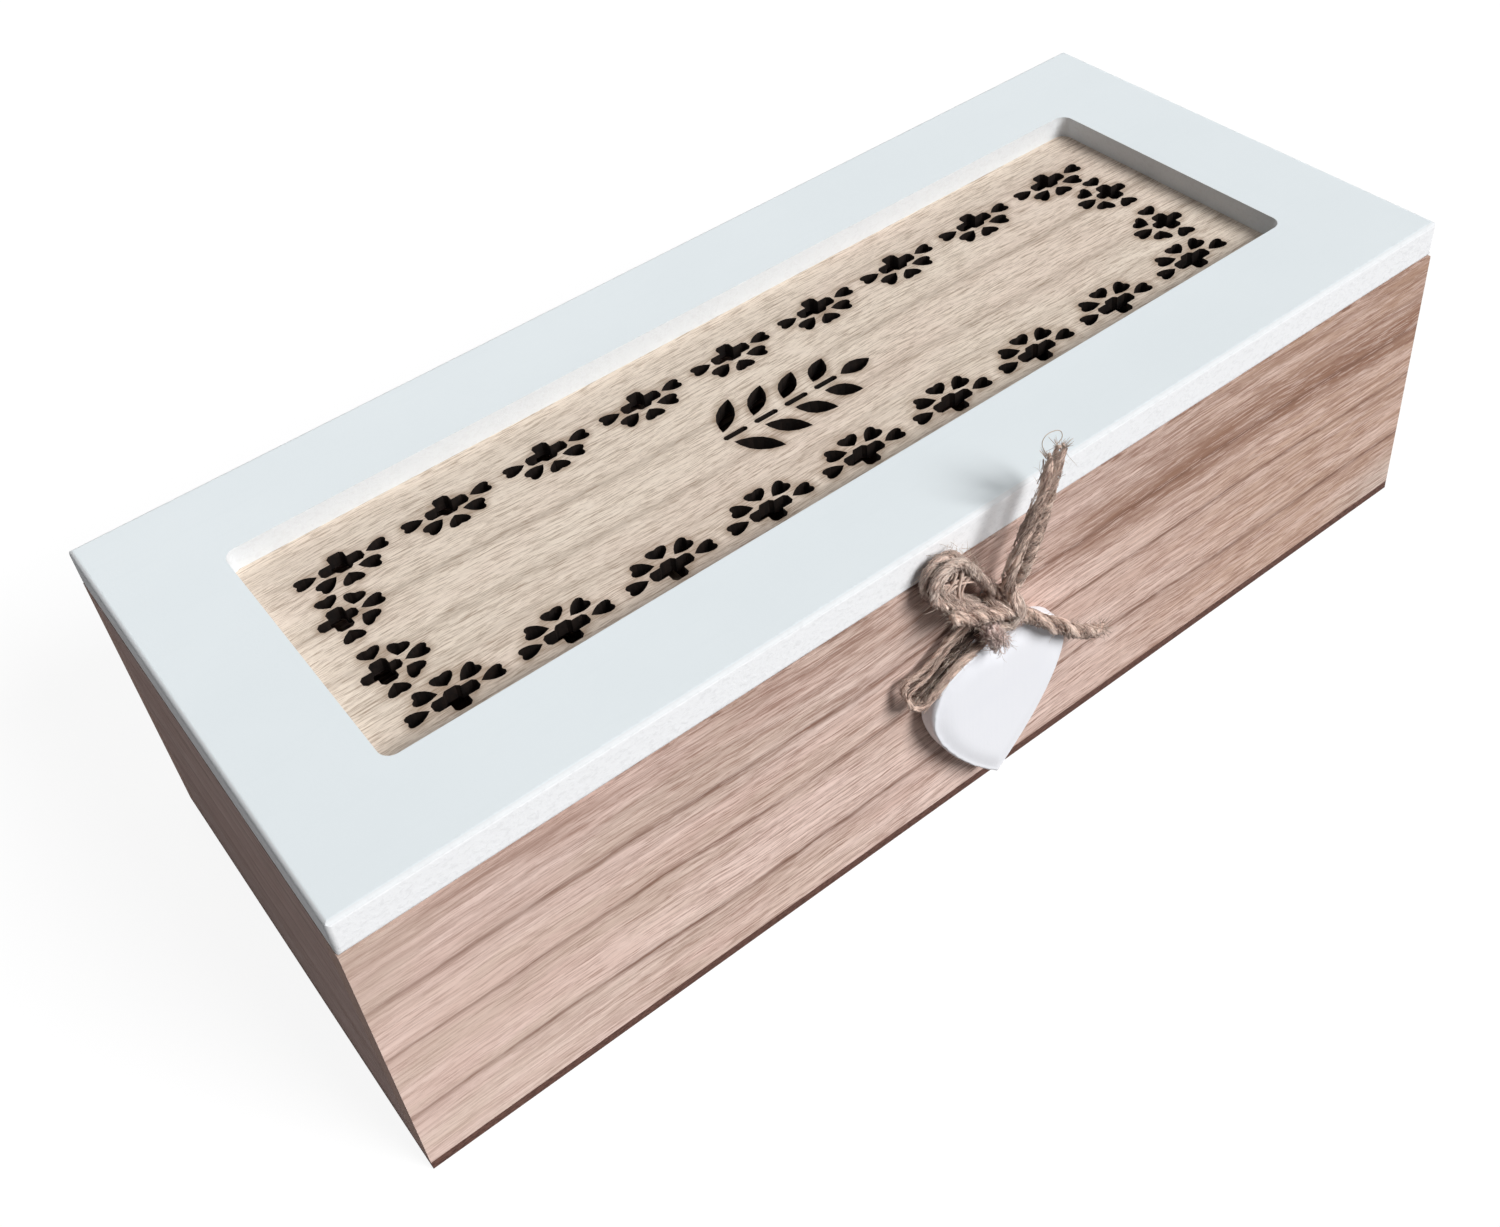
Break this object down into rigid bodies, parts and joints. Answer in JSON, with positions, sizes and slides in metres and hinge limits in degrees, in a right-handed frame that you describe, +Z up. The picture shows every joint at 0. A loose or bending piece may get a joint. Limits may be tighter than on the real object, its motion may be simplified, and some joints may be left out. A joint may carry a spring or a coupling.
{
  "type": "tea bag organizer box",
  "caption": "Wooden tea bag box with compartments, a hinged white framed lid over a cut-out wooden panel, and a small white heart hung from a twine bow on the front.",
  "frame": {"origin": "centre of the underside of the base panel, on the standing surface", "axes": "+X along the length, +Y from the front with the heart to the back with the hinges, +Z up"},
  "size_m": [0.24, 0.1154, 0.0803],
  "materials": {
    "wall_wood": "pinkish brown veneer with growth lines, thin clear finish",
    "base_board": "dark reddish hardboard",
    "divider_ply": "plain plywood",
    "white_paint": "white satin paint on wood, fine roller texture",
    "panel_ply": "pale plywood, laser cut, scorched cut edges",
    "hinge_brass": "plain brass",
    "steel": "bright steel",
    "twine": "two-ply jute, loose fibres",
    "heart_paint": "white matt paint on wood"
  },
  "bodies": {
    "box": {"base_panel": "base_board", "front_wall": "wall_wood", "back_wall": "wall_wood", "left_wall": "wall_wood", "right_wall": "wall_wood", "divider_left": "divider_ply", "divider_right": "divider_ply", "base_brads": "steel", "hinge_left_box_leaf": "hinge_brass", "hinge_right_box_leaf": "hinge_brass", "hinge_left_pin": "steel", "hinge_right_pin": "steel", "hinge_screws_box": "steel", "bow_pin": "steel"},
    "lid": {"lid_frame": "white_paint", "lid_panel": "panel_ply", "hinge_left_lid_leaf": "hinge_brass", "hinge_right_lid_leaf": "hinge_brass", "hinge_screws_lid": "steel"},
    "bow": {"twine_knot": "twine", "bow_loop_front": "twine", "bow_loop_back": "twine", "tail_up_twisted": "twine", "tail_up_smooth": "twine", "bow_stub": "twine"},
    "heart_pendant": {"heart": "heart_paint", "heart_strand": "twine", "tail_left": "twine", "tail_right": "twine", "tail_short": "twine"}
  },
  "joints": [
    {"name": "lid_hinge", "type": "hinge", "parent": "box", "child": "lid", "pos_m": [0, 0.0519, 0.06115], "axis": [-1, 0, 0], "range_deg": [0, 105]},
    {"name": "bow_turn", "type": "hinge", "parent": "box", "child": "bow", "pos_m": [0.0016, -0.0536, 0.0498], "axis": [0, 1, 0], "range_deg": [-10, 10]},
    {"name": "heart_swing", "type": "hinge", "parent": "bow", "child": "heart_pendant", "pos_m": [0.0016, -0.0536, 0.0498], "axis": [-1, 0, 0], "range_deg": [0, 30]}
  ]
}
